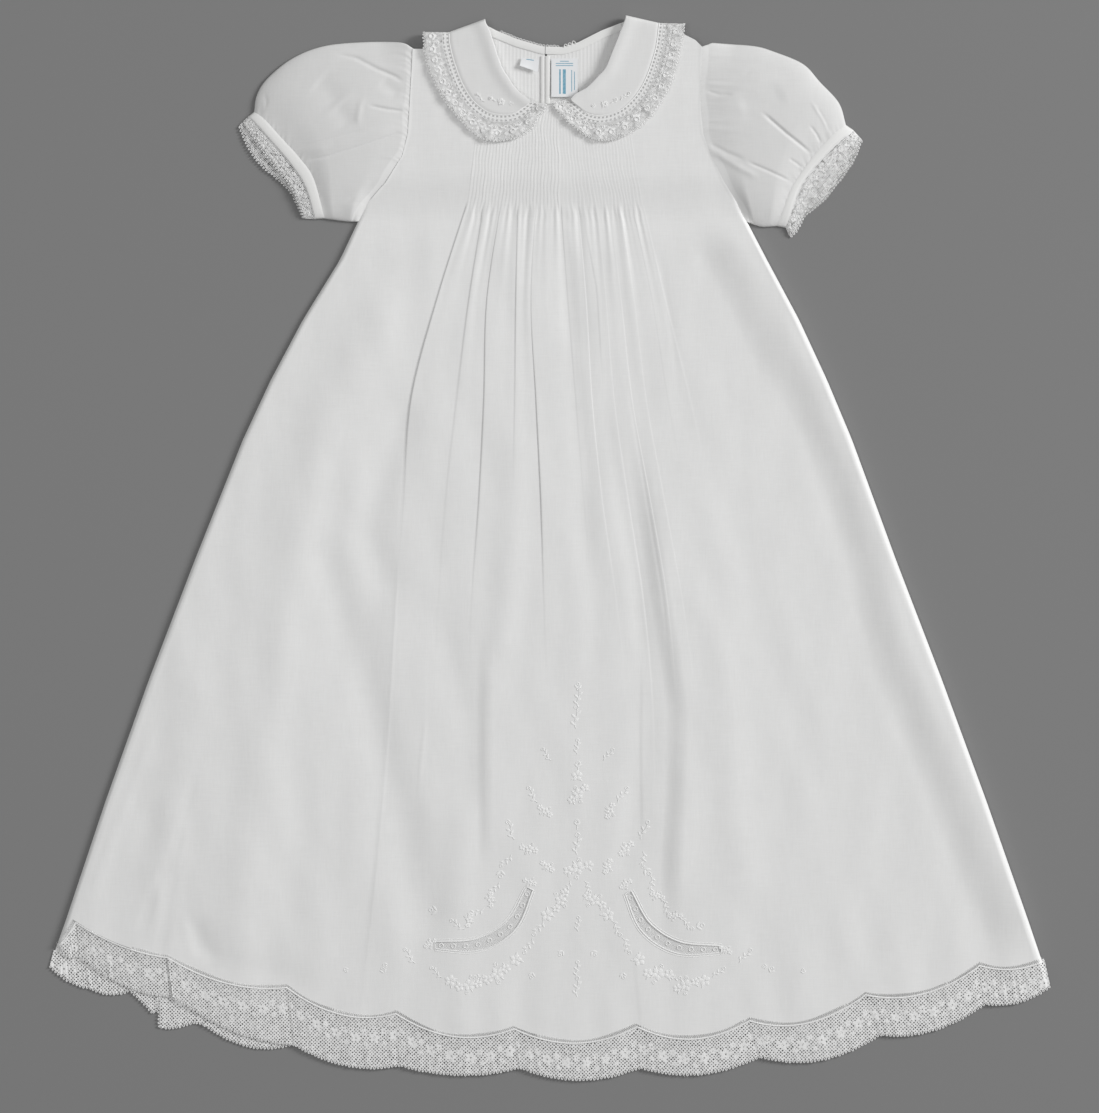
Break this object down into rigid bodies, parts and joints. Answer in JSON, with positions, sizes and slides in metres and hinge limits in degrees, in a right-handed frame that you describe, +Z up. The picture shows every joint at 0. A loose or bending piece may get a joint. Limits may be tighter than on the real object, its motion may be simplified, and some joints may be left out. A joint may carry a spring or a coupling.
{
  "type": "christening gown",
  "caption": "Long white cotton christening gown laid flat: pintucked front, puffed sleeves, round lace-edged collar, flared skirt with a scalloped lace hem.",
  "frame": {"origin": "middle of the gown's outline on the surface that it lies on", "axes": "+Z up off the surface, +Y towards the neck, +X to the right of a viewer who looks down with the neck at the top"},
  "size_m": [0.65, 0.6911, 0.0093],
  "materials": {
    "batiste": "white cotton batiste, matt",
    "binding": "white cotton bias binding, pressed",
    "lace": "white cotton lace",
    "label": "white satin ribbon, bare",
    "pearl": "white pearl plastic"
  },
  "bodies": {
    "root": {"front": "batiste", "back": "batiste", "sleeve_left": "batiste", "sleeve_right": "batiste", "cuff_band_left": "binding", "cuff_band_right": "binding", "cuff_lace_left": "lace", "cuff_lace_right": "lace", "collar_left": "batiste", "collar_right": "batiste", "collar_lace_left": "lace", "collar_lace_right": "lace", "neck_binding_left": "binding", "neck_binding_right": "binding", "placket_left": "binding", "placket_right": "binding", "button_top": "pearl", "button_low": "pearl", "label_main": "label", "label_size": "label", "hem_lace_front": "lace", "hem_lace_back": "lace", "lace_inset_left": "lace", "lace_inset_right": "lace"}
  },
  "joints": []
}
